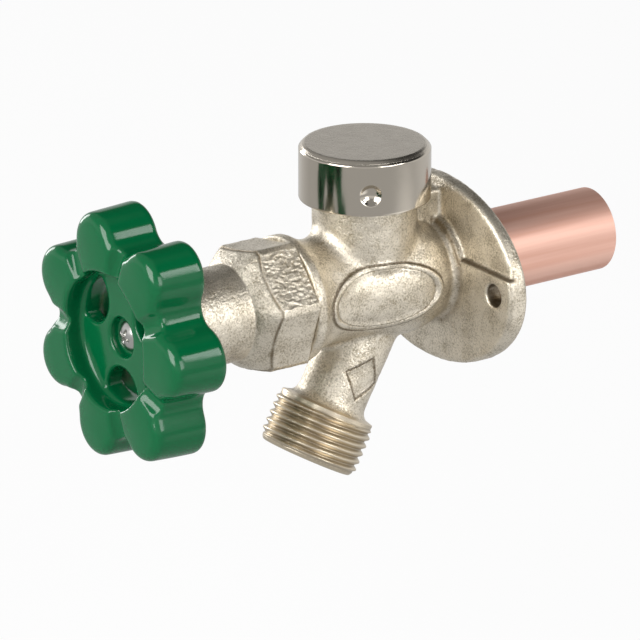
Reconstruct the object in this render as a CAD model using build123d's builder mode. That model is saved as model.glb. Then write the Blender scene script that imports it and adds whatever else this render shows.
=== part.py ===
from build123d import *
import os
from math import cos, pi, radians, sin, sqrt

# Frost free sillcock: a wall tap whose valve sits at the far end of its tube.
# Lengths are millimetres, angles degrees. +Z is up and +Y goes into the wall. The
# origin is the centre of the flange's back face, on the tube's axis. A reach is a
# distance in front of that face, towards -Y, and a depth is a distance behind it.

# Fits and cuts
overrun = 1.0  # how far a cut runs past the face that it opens
slip_gap = 0.02  # on the radius, for pieces screwed, soldered or pressed home
run_gap = 0.05  # on the radius, for shafts that turn in their bores
rest_gap = 0.3  # between the float and what it stops against
edge_tolerance = 0.01  # when an edge is picked by its size and place

# Copper tube
tube_radius = 11.11
tube_wall = 1.14
tube_depth = 48.0
socket_length = 14.0

# Wall flange, an oval plate whose upper face lies back by a step
flange_half_width = 36.1
flange_half_height = 25.0
flange_thickness = 5.6
flange_step = 1.6
flange_step_height = 5.7
flange_rim_round = 1.3
flange_back_round = 0.7
screw_hole_radius = 3.0
screw_hole_spacing = 57.2

# Barrel of the head casting
body_reach = 52.25
barrel_back_radius = 13.0
barrel_root_round = 2.0
barrel_mid_radius = 15.0
barrel_waist_radius = 14.1
barrel_waist_setback = 6.85
collar_radius = 17.0
collar_length = 2.6
chamber_radius = 10.2

# Vent tower of the head casting
tower_radius = 13.7
tower_top = 25.0
tower_fillet = 4.0
float_bore_radius = 10.0
float_ledge_height = 12.7
port_radius = 6.0
vent_thread_radius = 11.4
vent_thread_length = 5.4
ring_seat_radius = 12.9
ring_seat_depth = 1.5
rib_height = 22.0
rib_width = 6.0

# Spout of the head casting
spout_setback = 6.325
spout_lean = 29.0
spout_length = 51.3
spout_radius = 9.25
spout_bore_radius = 6.4
spout_fillet = 2.0
hose_thread_radius = 13.49
hose_thread_length = 13.3
hose_end_chamfer = 1.0
hose_flare = 3.0
hose_land = 1.0
hose_land_radius = 12.7
mouth_radius = 8.9
mouth_depth = 9.0

# Raised oval and lozenge on the casting's side
pad_advance = 3.175
pad_half_length = 17.2
pad_half_height = 8.8
pad_height = 0.5
pad_border_width = 1.5
lozenge_offset = 26.4
lozenge_half_length = 5.8
lozenge_half_width = 5.1
lozenge_depth = 0.6

# Bonnet, a hexagon and a long neck in one casting
hex_across_flats = 31.75
hex_length = 12.6
hex_turn = 11.0
shoulder_length = 3.6
corner_drop = 4.4
hex_corner_slack = 0.27
neck_radius = 12.7
bonnet_reach = 90.4
bonnet_edge_round = 0.8
shank_radius = 12.0
shank_length = 7.85
seal_thickness = 1.0
stop_zone_length = 4.1
stop_bore_gap = 0.2
seal_slack = 0.1
bonnet_chamber_radius = 9.0
bonnet_web_reach = 62.0

# Spindle
stem_radius = 6.0
stem_tail_radius = 5.6
stem_tail_length = 11.95
stem_collar_radius = 7.4
stem_collar_length = 3.0
stop_lug_angle = 40.0
stop_slack_angle = 1.0
stop_lug_gap = 0.3
washer_slack = 0.1
washer_bore_gap = 0.3
stem_edge_chamfer = 0.4
screw_hole_depth = 9.1
quarter_turn = 90.0
washer_thickness = 1.0
stem_square = 7.4
stem_square_length = 3.9
ring_groove_radius = 4.6
ring_groove_width = 2.0
ring_groove_inset = 6.4
ring_groove_pitch = 6.0
ring_count = 2
rod_radius = 3.0
rod_socket_length = 10.0
rod_pin_radius = 1.0
rod_pin_setback = 5.0
rod_pin_inset = 0.2

# Handle, seven lobes round a dish
handle_gap = 0.8
hub_drop = 0.15
handle_depth = 16.0
handle_lobes = 7
handle_phase = 0.4
lobe_ring_radius = 25.0
lobe_radius = 8.7
valley_radius = 5.0
handle_draft = 2.5
handle_front_round = 2.4
handle_back_round = 1.4
dish_radius = 18.0
dish_depth = 5.7
dish_corner_round = 1.2
dish_edge_round = 1.0
floor_thickness = 5.0
finger_hole_radius = 7.0
finger_hole_ring_radius = 15.2
finger_hole_turn = 30.0
finger_hole_bound = 17.0
crease_radius = 3.0
crease_lift = 1.9
crease_slope = 0.2
crease_length = 12.0
hub_radius = 8.6
back_cavity_radius = 17.4
pocket_radius = 3.8
pocket_ring_radius = 25.2
pocket_depth = 9.6

# Handle screw
screw_recess_radius = 5.2
screw_recess_depth = 3.05
screw_head_radius = 3.9
screw_head_height = 2.25
screw_shank_radius = 2.0
screw_length = 10.4
screw_rim_height = 0.9
screw_hole_gap = 0.2
square_end_gap = 0.2

# Valve at the far end of the tube
seat_recess = 2.0
seat_length = 21.4
seat_counterbore = 5.4
seat_bore_radius = 6.0
pipe_socket_radius = 7.99
pipe_socket_length = 12.0
shell_radius = 8.65
shell_wall = 1.0
shell_depth = 10.6
shell_plate = 2.5
shell_window_width = 7.0
shell_window_margin = 0.6
disc_radius = 7.5
moving_disc_thickness = 2.6
fixed_disc_thickness = 3.0
disc_port_inner = 2.4
disc_port_outer = 6.2
disc_port_angle = 62.0
disc_key_width = 2.4
cartridge_seal_thickness = 3.1
cartridge_seal_inner = 5.6
driver_radius = 4.6
driver_bar_width = 5.0
driver_bar_thickness = 3.6
driver_tang_length = 1.3
driver_tang_width = 2.6
driver_tang_offset = 4.9
bar_slack = 0.1
rod_flat_width = 4.2
rod_flat_length = 6.0
shell_end_gap = 0.2

# Vent parts under the cap
float_radius = 8.2
float_thickness = 2.0
float_rib_width = 2.4
float_rib_height = 3.5
float_ribs = 4
float_travel = 3.0
float_boss_radius = 3.0
float_head_radius = 3.9
float_head_height = 0.9
float_seal_radius = 7.4
float_seal_thickness = 1.8
vent_bore_radius = 5.2
vent_lip_width = 1.3
vent_lip_height = 0.6
vent_flange_radius = 13.5
vent_flange_thickness = 2.6
vent_neck_radius = 12.2
vent_neck_height = 4.7
vent_crown_radius = 16.0
vent_crown_bore = 9.4
vent_crown_chamfer = 1.0
vent_web_height = 1.6
vent_notches = 6
vent_notch_width = 7.0
ring_slack = 0.02

# Chromed cap
cap_radius = 17.2
cap_wall = 0.9
cap_low = 23.4
cap_bevel_height = 36.8
cap_top_radius = 15.9
cap_top = 38.1
cap_edge_round = 0.5
dimple_height = 29.1
dimple_ball_radius = 3.4
dimple_depth = 1.6
dimple_count = 3
dimple_turn = -30.0
dimple_rim_round = 0.4

# Places worked out from the sizes above
tube_bore_radius = tube_radius - tube_wall
barrel_waist_reach = body_reach - collar_length - barrel_waist_setback
tower_reach = body_reach / 2
spout_reach = tower_reach - spout_setback
pad_reach = tower_reach + pad_advance
hex_reach = body_reach + hex_length
shoulder_reach = hex_reach + shoulder_length
hex_corner_radius = hex_across_flats / sqrt(3)
shank_reach = body_reach - shank_length
seal_reach = shank_reach - seal_thickness
hub_back_reach = bonnet_reach + handle_gap
rim_back_reach = hub_back_reach + hub_drop
rim_front_reach = rim_back_reach + handle_depth
hub_face_reach = rim_front_reach - dish_depth
floor_back_reach = hub_face_reach - floor_thickness
screw_seat_reach = hub_face_reach - screw_recess_depth
square_end_reach = hub_back_reach + stem_square_length
washer_reach = bonnet_web_reach - washer_thickness
collar_front_reach = washer_reach - run_gap
collar_back_reach = collar_front_reach - stem_collar_length
stem_tail_reach = collar_back_reach - stem_tail_length
rod_pin_reach = stem_tail_reach + rod_pin_setback
ring_groove_reach = bonnet_reach - ring_groove_inset
stop_zone_reach = bonnet_web_reach - stop_zone_length
rod_front_reach = stem_tail_reach + rod_socket_length - run_gap
crown_low = tower_top + vent_flange_thickness + vent_neck_height
crown_top = cap_top - cap_wall
float_low = float_ledge_height + rest_gap
float_top = float_low + float_thickness
seal_top = float_top + float_seal_thickness
lip_low = seal_top + float_travel + rest_gap - run_gap
seat_back_depth = tube_depth - seat_recess
seat_front_depth = seat_back_depth - seat_length
seat_shoulder_depth = seat_front_depth + seat_counterbore
pipe_shoulder_depth = seat_back_depth - pipe_socket_length
fixed_back_depth = seat_shoulder_depth - cartridge_seal_thickness
fixed_front_depth = fixed_back_depth - fixed_disc_thickness
moving_back_depth = fixed_front_depth - slip_gap
moving_front_depth = moving_back_depth - moving_disc_thickness
bar_back_depth = moving_front_depth - run_gap
bar_front_depth = bar_back_depth - driver_bar_thickness
plate_back_depth = shell_depth + shell_plate
shell_bore_radius = shell_radius - shell_wall
rod_back_depth = plate_back_depth + run_gap
driver_front_depth = rod_back_depth - rod_flat_length + run_gap
shell_back_depth = seat_shoulder_depth - shell_end_gap
o_ring_radius = (stem_radius - ring_groove_radius) / 2 - ring_slack
vent_ring_radius = (ring_seat_radius - vent_thread_radius) / 2 - ring_slack

tower_plane = Plane(origin=(0, -tower_reach, 0), x_dir=(1, 0, 0), z_dir=(0, 0, 1))
spout_direction = (0, -sin(radians(spout_lean)), -cos(radians(spout_lean)))
spout_plane = Plane(origin=(0, -spout_reach, 0), x_dir=(1, 0, 0), z_dir=spout_direction)
spout_side = Plane(origin=(0, -spout_reach, 0), x_dir=spout_direction, z_dir=(1, 0, 0))
spout_axis = Axis((0, -spout_reach, 0), spout_direction)


def polar(radius, turn):
    # A point given by its radius and its angle.
    return (radius * cos(radians(turn)), radius * sin(radians(turn)))


def toward(start, end, share):
    # The point at a share of the way from one point to another.
    return tuple(a + share * (b - a) for a, b in zip(start, end))


def disc(plane, start, end, radius, mode=Mode.ADD):
    # A round length about the plane's normal, between two offsets along it.
    with BuildSketch(plane.offset(start)) as section:
        Circle(radius)
    extrude(section.sketch, amount=end - start, mode=mode)


def ring(plane, start, end, outer, inner, mode=Mode.ADD):
    # The same with a hole through it.
    with BuildSketch(plane.offset(start)) as section:
        Circle(outer)
        Circle(inner, mode=Mode.SUBTRACT)
    extrude(section.sketch, amount=end - start, mode=mode)


def sectors(plane, start, end, outer, inner, turns, angle, mode=Mode.ADD):
    # Sectors of a ring, one centred on each of the turns.
    span = outer / cos(radians(angle / 4)) ** 2
    with BuildSketch(plane.offset(start)) as section:
        for turn in turns:
            rim = [polar(span, turn + share * angle) for share in (-0.5, -0.25, 0, 0.25, 0.5)]
            with BuildLine() as wedge:
                Polyline((0, 0), *rim, close=True)
            make_face(wedge.edges())
        Circle(outer, mode=Mode.INTERSECT)
        Circle(inner, mode=Mode.SUBTRACT)
    extrude(section.sketch, amount=end - start, mode=mode)


def circles_at(part, radius, reach):
    # The circular edges of one radius whose centres lie at one reach.
    round_edges = part.edges().filter_by(GeomType.CIRCLE)
    near = [e for e in round_edges if abs(e.arc_center.Y + reach) < edge_tolerance]
    return [e for e in near if abs(e.radius - radius) < edge_tolerance]


def save(part, label):
    # Each piece goes to a file of its own name.
    part.label = label
    export_step(part, "parts/" + label + ".step")
    print(label, "volume", round(part.volume, 1), "valid", part.is_valid)


os.makedirs("parts", exist_ok=True)

# Flange: an oval plate with a rounded rim, whose upper face is set back
with BuildPart() as flange:
    with BuildSketch(Plane.XZ):
        Ellipse(flange_half_width, flange_half_height)
    extrude(amount=flange_thickness)
    fillet(flange.edges().group_by(Axis.Y)[0], flange_rim_round)
    fillet(flange.edges().group_by(Axis.Y)[-1], flange_back_round)
    with BuildSketch(Plane.XZ):
        with Locations((0, flange_step_height)):
            Rectangle(
                2 * (flange_half_width + overrun),
                flange_half_height,
                align=(Align.CENTER, Align.MIN),
            )
    extrude(amount=flange_thickness, mode=Mode.SUBTRACT)

with BuildPart() as flange_upper:
    with BuildSketch(Plane.XZ):
        Ellipse(flange_half_width, flange_half_height)
    extrude(amount=flange_thickness - flange_step)
    fillet(flange_upper.edges().group_by(Axis.Y)[0], flange_rim_round)
    fillet(flange_upper.edges().group_by(Axis.Y)[-1], flange_back_round)

# Barrel: waisted before its flared collar
with BuildPart() as barrel:
    with BuildSketch(Plane.YZ):
        with BuildLine():
            root = CenterArc(
                (
                    -(flange_thickness + barrel_root_round),
                    barrel_back_radius + barrel_root_round,
                ),
                barrel_root_round,
                -90,
                90,
            )
            side = Spline(
                root @ 0,
                (-tower_reach, barrel_mid_radius),
                (-barrel_waist_reach, barrel_waist_radius),
                (-(body_reach - collar_length), collar_radius),
            )
            Polyline(
                side @ 1,
                (-body_reach, collar_radius),
                (-body_reach, 0),
                (-flange_back_round, 0),
                (-flange_back_round, barrel_back_radius + barrel_root_round),
                root @ 1,
            )
        make_face()
    revolve(axis=Axis.Y)

# Raised oval: a band that stands proud of the barrel and of the tower's side
with BuildPart() as pad:
    with BuildSketch(Plane.YZ):
        with BuildLine():
            proud = Spline(
                (-flange_thickness, barrel_back_radius + pad_height),
                (-tower_reach, barrel_mid_radius + pad_height),
                (-barrel_waist_reach, barrel_waist_radius + pad_height),
                (-(body_reach - collar_length), collar_radius + pad_height),
            )
            Polyline(
                proud @ 1,
                (-(body_reach - collar_length), 0),
                (-flange_thickness, 0),
                proud @ 0,
            )
        make_face()
    revolve(axis=Axis.Y)
    disc(tower_plane, 0, tower_top, tower_radius + pad_height)
    with BuildSketch(Plane.YZ) as band:
        with Locations((-pad_reach, 0)):
            Ellipse(pad_half_length, pad_half_height)
            Ellipse(
                pad_half_length - pad_border_width,
                pad_half_height - pad_border_width,
                mode=Mode.SUBTRACT,
            )
    extrude(band.sketch, amount=2 * collar_radius, mode=Mode.INTERSECT)

# Lozenge: a panel let into the side of the spout's neck
with BuildPart() as lozenge:
    ring(
        spout_plane,
        lozenge_offset - lozenge_half_length - overrun,
        lozenge_offset + lozenge_half_length + overrun,
        spout_radius + overrun,
        spout_radius - lozenge_depth,
    )
    with BuildSketch(spout_side) as panel:
        with BuildLine():
            Polyline(
                (lozenge_offset - lozenge_half_length, 0),
                (lozenge_offset, lozenge_half_width),
                (lozenge_offset + lozenge_half_length, 0),
                (lozenge_offset, -lozenge_half_width),
                close=True,
            )
        make_face()
    extrude(panel.sketch, amount=2 * spout_radius, mode=Mode.INTERSECT)

# Spout: a neck that flares into the hose thread, turned about its own axis
thread_start = spout_length - hose_thread_length
with BuildPart() as spout:
    with BuildSketch(spout_side):
        with BuildLine():
            flare = TangentArc(
                (thread_start - hose_land - hose_flare, spout_radius),
                (thread_start - hose_land, hose_land_radius),
                tangent=(1, 0),
            )
            Polyline(
                flare @ 1,
                (thread_start, hose_land_radius),
                (thread_start, hose_thread_radius),
                (spout_length - hose_end_chamfer, hose_thread_radius),
                (spout_length, hose_thread_radius - hose_end_chamfer),
                (spout_length, 0),
                (0, 0),
                (0, spout_radius),
                flare @ 0,
            )
        make_face()
    revolve(axis=spout_axis)

# Head casting: the forms above are joined and softened, then cored out
with BuildPart() as head_casting:
    add(barrel.part)
    disc(tower_plane, 0, tower_top, tower_radius)
    tower_joint = head_casting.edges(Select.NEW).filter_by(GeomType.CIRCLE, reverse=True)
    fillet(tower_joint, tower_fillet)
    add(spout.part)
    spout_joint = head_casting.edges(Select.NEW).filter_by(GeomType.CIRCLE, reverse=True)
    fillet(spout_joint, spout_fillet)
    with BuildSketch(Plane.YZ.offset(-rib_width / 2)) as rib:
        with Locations((-tower_reach, 0)):
            Rectangle(tower_reach - flange_back_round, rib_height, align=(Align.MIN, Align.MIN))
    extrude(rib.sketch, amount=rib_width)
    add(flange_upper.part)
    add(flange.part)
    add(pad.part)
    add(lozenge.part, mode=Mode.SUBTRACT)
    disc(Plane.XZ, seal_reach, body_reach + overrun, shank_radius + slip_gap, Mode.SUBTRACT)
    disc(Plane.XZ, socket_length, seal_reach, chamber_radius, Mode.SUBTRACT)
    disc(Plane.XZ, -overrun, socket_length, tube_radius + slip_gap, Mode.SUBTRACT)
    disc(tower_plane, 0, float_ledge_height, port_radius, Mode.SUBTRACT)
    disc(
        tower_plane,
        float_ledge_height,
        tower_top - vent_thread_length,
        float_bore_radius,
        Mode.SUBTRACT,
    )
    disc(
        tower_plane,
        tower_top - vent_thread_length,
        tower_top + overrun,
        vent_thread_radius,
        Mode.SUBTRACT,
    )
    disc(
        tower_plane,
        tower_top - ring_seat_depth,
        tower_top + overrun,
        ring_seat_radius,
        Mode.SUBTRACT,
    )
    disc(spout_plane, 0, spout_length + overrun, spout_bore_radius, Mode.SUBTRACT)
    disc(
        spout_plane,
        spout_length - mouth_depth,
        spout_length + overrun,
        mouth_radius,
        Mode.SUBTRACT,
    )
    with BuildSketch(Plane.XZ.offset(-overrun)) as screw_holes:
        with GridLocations(screw_hole_spacing, 0, 2, 1):
            Circle(screw_hole_radius)
    extrude(screw_holes.sketch, amount=flange_thickness + 2 * overrun, mode=Mode.SUBTRACT)
save(head_casting.part, "head_casting")

# Copper tube, soldered into the back of the casting
with BuildPart() as casing_tube:
    ring(Plane.XZ, -tube_depth, socket_length, tube_radius, tube_bore_radius)
save(casing_tube.part, "casing_tube")

# Bonnet: the hexagon's corners are turned down to a dome that meets the neck
with BuildPart() as dome:
    with BuildSketch(Plane.YZ):
        with BuildLine():
            crest = ThreePointArc(
                (-(hex_reach - corner_drop), hex_corner_radius + hex_corner_slack),
                (-hex_reach, hex_across_flats / 2),
                (-shoulder_reach, neck_radius),
            )
            Polyline(
                crest @ 1,
                (-shoulder_reach, 0),
                (-body_reach, 0),
                (-body_reach, hex_corner_radius + hex_corner_slack),
                crest @ 0,
            )
        make_face()
    revolve(axis=Axis.Y)

with BuildPart() as bonnet_nut:
    with BuildSketch(Plane.XZ.offset(body_reach)):
        RegularPolygon(hex_corner_radius, 6, rotation=hex_turn)
    extrude(amount=hex_length + shoulder_length)
    add(dome.part, mode=Mode.INTERSECT)
    disc(Plane.XZ, hex_reach, bonnet_reach, neck_radius)
    fillet(circles_at(bonnet_nut, neck_radius, bonnet_reach), bonnet_edge_round)
    disc(Plane.XZ, shank_reach, body_reach, shank_radius)
    disc(Plane.XZ, shank_reach, stop_zone_reach, bonnet_chamber_radius, Mode.SUBTRACT)
    disc(
        Plane.XZ,
        stop_zone_reach,
        bonnet_web_reach,
        stem_collar_radius + stop_bore_gap,
        Mode.SUBTRACT,
    )
    sectors(
        Plane.XZ,
        stop_zone_reach,
        washer_reach,
        bonnet_chamber_radius,
        stem_radius,
        [0],
        stop_lug_angle + quarter_turn + 2 * stop_slack_angle,
        Mode.SUBTRACT,
    )
    disc(Plane.XZ, bonnet_web_reach, bonnet_reach + overrun, stem_radius + run_gap, Mode.SUBTRACT)
save(bonnet_nut.part, "bonnet_nut")

with BuildPart() as bonnet_seal:
    ring(Plane.XZ, seal_reach, shank_reach, shank_radius - seal_slack, chamber_radius + seal_slack)
save(bonnet_seal.part, "bonnet_seal")

with BuildPart() as thrust_washer:
    ring(
        Plane.XZ,
        washer_reach,
        bonnet_web_reach,
        stem_collar_radius + washer_slack,
        stem_radius + washer_bore_gap,
    )
save(thrust_washer.part, "thrust_washer")

# Spindle: square for the handle, grooves for the rings, collar with the stop lug
with BuildPart() as stem:
    with BuildSketch(Plane.XZ.offset(hub_back_reach)) as square:
        Rectangle(stem_square, stem_square)
    extrude(square.sketch, amount=stem_square_length)
    chamfer(stem.faces().sort_by(Axis.Y)[0].edges(), stem_edge_chamfer)
    disc(Plane.XZ, collar_front_reach, hub_back_reach, stem_radius)
    disc(Plane.XZ, collar_back_reach, collar_front_reach, stem_collar_radius)
    sectors(
        Plane.XZ,
        collar_back_reach,
        collar_front_reach,
        bonnet_chamber_radius - stop_lug_gap,
        stem_tail_radius,
        [-quarter_turn / 2],
        stop_lug_angle,
    )
    disc(Plane.XZ, stem_tail_reach, collar_back_reach, stem_tail_radius)
    for step in range(ring_count):
        groove_reach = ring_groove_reach - step * ring_groove_pitch
        ring(
            Plane.XZ,
            groove_reach - ring_groove_width / 2,
            groove_reach + ring_groove_width / 2,
            stem_radius + overrun,
            ring_groove_radius,
            Mode.SUBTRACT,
        )
    disc(
        Plane.XZ,
        stem_tail_reach - overrun,
        stem_tail_reach + rod_socket_length,
        rod_radius + slip_gap,
        Mode.SUBTRACT,
    )
    disc(
        Plane.XZ,
        square_end_reach - screw_hole_depth,
        square_end_reach + overrun,
        screw_shank_radius + slip_gap,
        Mode.SUBTRACT,
    )
    disc(
        Plane(origin=(0, -rod_pin_reach, 0), x_dir=(0, 0, 1), z_dir=(1, 0, 0)),
        -2 * stem_radius,
        2 * stem_radius,
        rod_pin_radius + slip_gap,
        Mode.SUBTRACT,
    )
save(stem.part, "stem")

with BuildPart() as stem_o_rings:
    for step in range(ring_count):
        with Locations(Plane.XZ.offset(ring_groove_reach - step * ring_groove_pitch)):
            Torus(ring_groove_radius + o_ring_radius + ring_slack, o_ring_radius)
save(stem_o_rings.part, "stem_o_rings")

# Rod between the spindle and the valve, flattened at its far end
with BuildPart() as operating_rod:
    disc(Plane.XZ, -rod_back_depth, rod_front_reach, rod_radius)
    with BuildSketch(Plane.XZ.offset(-rod_back_depth - overrun)) as flats:
        with GridLocations(0, rod_flat_width + 2 * rod_radius, 1, 2):
            Rectangle(4 * rod_radius, 2 * rod_radius)
    extrude(flats.sketch, amount=rod_flat_length + overrun, mode=Mode.SUBTRACT)
    disc(
        Plane(origin=(0, -rod_pin_reach, 0), x_dir=(0, 0, 1), z_dir=(1, 0, 0)),
        -2 * rod_radius,
        2 * rod_radius,
        rod_pin_radius + slip_gap,
        Mode.SUBTRACT,
    )
save(operating_rod.part, "operating_rod")

with BuildPart() as rod_pin:
    pin_half_length = stem_tail_radius - rod_pin_inset
    disc(
        Plane(origin=(0, -rod_pin_reach, 0), x_dir=(0, 0, 1), z_dir=(1, 0, 0)),
        -pin_half_length,
        pin_half_length,
        rod_pin_radius,
    )
save(rod_pin.part, "rod_pin")

# Handle: seven lobes that are joined by tangent valleys, tapered to the front
lobe_step = 360 / handle_lobes
arc_reach = lobe_radius + valley_radius
valley_centre_radius = lobe_ring_radius * cos(radians(lobe_step / 2)) + sqrt(
    arc_reach**2 - (lobe_ring_radius * sin(radians(lobe_step / 2))) ** 2
)
with BuildPart() as handle:
    with BuildSketch(Plane.XZ.offset(rim_back_reach)):
        with BuildLine():
            for lobe in range(handle_lobes):
                turn = handle_phase + lobe * lobe_step
                centre = polar(lobe_ring_radius, turn)
                next_centre = polar(lobe_ring_radius, turn + lobe_step)
                before = polar(valley_centre_radius, turn - lobe_step / 2)
                after = polar(valley_centre_radius, turn + lobe_step / 2)
                lobe_end = toward(centre, after, lobe_radius / arc_reach)
                ThreePointArc(
                    toward(centre, before, lobe_radius / arc_reach),
                    polar(lobe_ring_radius + lobe_radius, turn),
                    lobe_end,
                )
                ThreePointArc(
                    lobe_end,
                    polar(valley_centre_radius - valley_radius, turn + lobe_step / 2),
                    toward(next_centre, after, lobe_radius / arc_reach),
                )
        make_face()
    extrude(amount=handle_depth, taper=handle_draft)
    fillet(handle.faces().sort_by(Axis.Y)[0].edges(), handle_front_round)
    fillet(handle.faces().sort_by(Axis.Y)[-1].edges(), handle_back_round)
    disc(Plane.XZ, hub_face_reach, rim_front_reach + overrun, dish_radius, Mode.SUBTRACT)
    fillet(circles_at(handle, dish_radius, hub_face_reach), dish_corner_round)
    fillet(circles_at(handle, dish_radius, rim_front_reach), dish_edge_round)
    for lobe in range(handle_lobes):
        turn = handle_phase + (lobe + 0.5) * lobe_step
        x, z = polar(dish_radius - overrun, turn)
        run_x, run_z = polar(1, turn)
        crease_start = (x, -(rim_front_reach + crease_lift), z)
        with Locations(Plane(origin=crease_start, z_dir=(run_x, crease_slope, run_z))):
            Cylinder(
                crease_radius,
                crease_length,
                align=(Align.CENTER, Align.CENTER, Align.MIN),
                mode=Mode.SUBTRACT,
            )
    ring(
        Plane.XZ,
        rim_back_reach - overrun,
        floor_back_reach,
        back_cavity_radius,
        hub_radius,
        Mode.SUBTRACT,
    )
    disc(Plane.XZ, hub_back_reach, floor_back_reach, hub_radius)
    with BuildSketch(Plane.XZ.offset(rim_back_reach - overrun)) as pockets:
        with PolarLocations(pocket_ring_radius, handle_lobes, start_angle=handle_phase):
            Circle(pocket_radius)
    extrude(pockets.sketch, amount=pocket_depth + overrun, mode=Mode.SUBTRACT)
    with BuildSketch(Plane.XZ.offset(floor_back_reach - overrun)) as finger_holes:
        with PolarLocations(finger_hole_ring_radius, 3, start_angle=finger_hole_turn):
            Circle(finger_hole_radius)
        Circle(finger_hole_bound, mode=Mode.INTERSECT)
    extrude(finger_holes.sketch, amount=floor_thickness + 2 * overrun, mode=Mode.SUBTRACT)
    disc(
        Plane.XZ,
        screw_seat_reach,
        hub_face_reach + overrun,
        screw_recess_radius,
        Mode.SUBTRACT,
    )
    disc(
        Plane.XZ,
        square_end_reach,
        screw_seat_reach,
        screw_shank_radius + screw_hole_gap,
        Mode.SUBTRACT,
    )
    with BuildSketch(Plane.XZ.offset(hub_back_reach - overrun)) as socket:
        Rectangle(stem_square + 2 * run_gap, stem_square + 2 * run_gap)
    extrude(
        socket.sketch,
        amount=stem_square_length + overrun + square_end_gap,
        mode=Mode.SUBTRACT,
    )
save(handle.part, "handle")

# Screw with a domed head
dome_rise = screw_head_height - screw_rim_height
dome_radius = (screw_head_radius**2 + dome_rise**2) / (2 * dome_rise)
dome_mid_rise = sqrt(dome_radius**2 - (screw_head_radius / 2) ** 2) - dome_radius + dome_rise
with BuildPart() as handle_screw:
    with BuildSketch(Plane.YZ):
        with BuildLine():
            crown = ThreePointArc(
                (-(screw_seat_reach + screw_rim_height), screw_head_radius),
                (-(screw_seat_reach + screw_rim_height + dome_mid_rise), screw_head_radius / 2),
                (-(screw_seat_reach + screw_head_height), 0),
            )
            Polyline(
                crown @ 1,
                (-(screw_seat_reach - screw_length), 0),
                (-(screw_seat_reach - screw_length), screw_shank_radius),
                (-screw_seat_reach, screw_shank_radius),
                (-screw_seat_reach, screw_head_radius),
                crown @ 0,
            )
        make_face()
    revolve(axis=Axis.Y)
save(handle_screw.part, "handle_screw")

# Rear spindle: it takes the rod's flats and turns the moving disc by two tangs
with BuildPart() as disc_driver:
    disc(Plane.XZ, -bar_front_depth, -driver_front_depth, driver_radius)
    with BuildSketch(Plane.XZ.offset(-bar_back_depth)) as bar:
        Circle(disc_radius - bar_slack)
        Rectangle(2 * disc_radius, driver_bar_width, mode=Mode.INTERSECT)
    extrude(bar.sketch, amount=driver_bar_thickness)
    with BuildSketch(Plane.XZ.offset(-(bar_back_depth + driver_tang_length))) as tangs:
        with GridLocations(2 * driver_tang_offset, 0, 2, 1):
            Rectangle(driver_tang_width, driver_bar_width)
    extrude(tangs.sketch, amount=driver_tang_length)
    with BuildSketch(Plane.XZ.offset(-rod_back_depth - run_gap)) as rod_socket:
        Circle(rod_radius + slip_gap)
        Rectangle(2 * driver_radius, rod_flat_width + 2 * run_gap, mode=Mode.INTERSECT)
    extrude(
        rod_socket.sketch,
        amount=rod_back_depth + run_gap - driver_front_depth + overrun,
        mode=Mode.SUBTRACT,
    )
save(disc_driver.part, "disc_driver")

# Cartridge: a cage with a bored front wall, four water windows and two key slots
with BuildPart() as cartridge_shell:
    disc(Plane.XZ, -shell_back_depth, -shell_depth, shell_radius)
    disc(Plane.XZ, -shell_back_depth - overrun, -plate_back_depth, shell_bore_radius, Mode.SUBTRACT)
    disc(Plane.XZ, -plate_back_depth, -shell_depth + overrun, driver_radius + run_gap, Mode.SUBTRACT)
    window_front_depth = plate_back_depth + shell_window_margin
    window_back_depth = moving_front_depth - shell_window_margin
    with BuildSketch(Plane.XZ.offset(-window_back_depth)) as windows:
        Rectangle(4 * shell_radius, shell_window_width)
        Rectangle(shell_window_width, 4 * shell_radius)
    extrude(windows.sketch, amount=window_back_depth - window_front_depth, mode=Mode.SUBTRACT)
    with BuildSketch(Plane.XZ.offset(-shell_back_depth - overrun)) as keyways:
        Rectangle(disc_key_width + 2 * run_gap, 4 * shell_radius)
    extrude(
        keyways.sketch,
        amount=shell_back_depth + overrun - fixed_front_depth,
        mode=Mode.SUBTRACT,
    )
save(cartridge_shell.part, "cartridge_shell")

# Ceramic discs: the ports of one lie a quarter turn from the other's when shut
with BuildPart() as moving_disc:
    disc(Plane.XZ, -moving_back_depth, -moving_front_depth, disc_radius)
    sectors(
        Plane.XZ,
        -moving_back_depth - overrun,
        -moving_front_depth + overrun,
        disc_port_outer,
        disc_port_inner,
        [90, 270],
        disc_port_angle,
        Mode.SUBTRACT,
    )
    with BuildSketch(Plane.XZ.offset(-(bar_back_depth + driver_tang_length + slip_gap))) as slots:
        with GridLocations(2 * driver_tang_offset, 0, 2, 1):
            Rectangle(driver_tang_width + 2 * run_gap, driver_bar_width + 2 * run_gap)
    extrude(slots.sketch, amount=driver_tang_length + overrun, mode=Mode.SUBTRACT)
save(moving_disc.part, "moving_disc")

with BuildPart() as fixed_disc:
    disc(Plane.XZ, -fixed_back_depth, -fixed_front_depth, shell_bore_radius - run_gap)
    with BuildSketch(Plane.XZ.offset(-fixed_back_depth)) as keys:
        Circle(shell_radius - run_gap)
        Rectangle(disc_key_width, 4 * shell_radius, mode=Mode.INTERSECT)
    extrude(keys.sketch, amount=fixed_disc_thickness)
    sectors(
        Plane.XZ,
        -fixed_back_depth - overrun,
        -fixed_front_depth + overrun,
        disc_port_outer,
        disc_port_inner,
        [0, 180],
        disc_port_angle,
        Mode.SUBTRACT,
    )
save(fixed_disc.part, "fixed_disc")

with BuildPart() as cartridge_seal:
    ring(
        Plane.XZ,
        -seat_shoulder_depth,
        -fixed_back_depth,
        shell_bore_radius - seal_slack,
        cartridge_seal_inner,
    )
save(cartridge_seal.part, "cartridge_seal")

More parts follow.
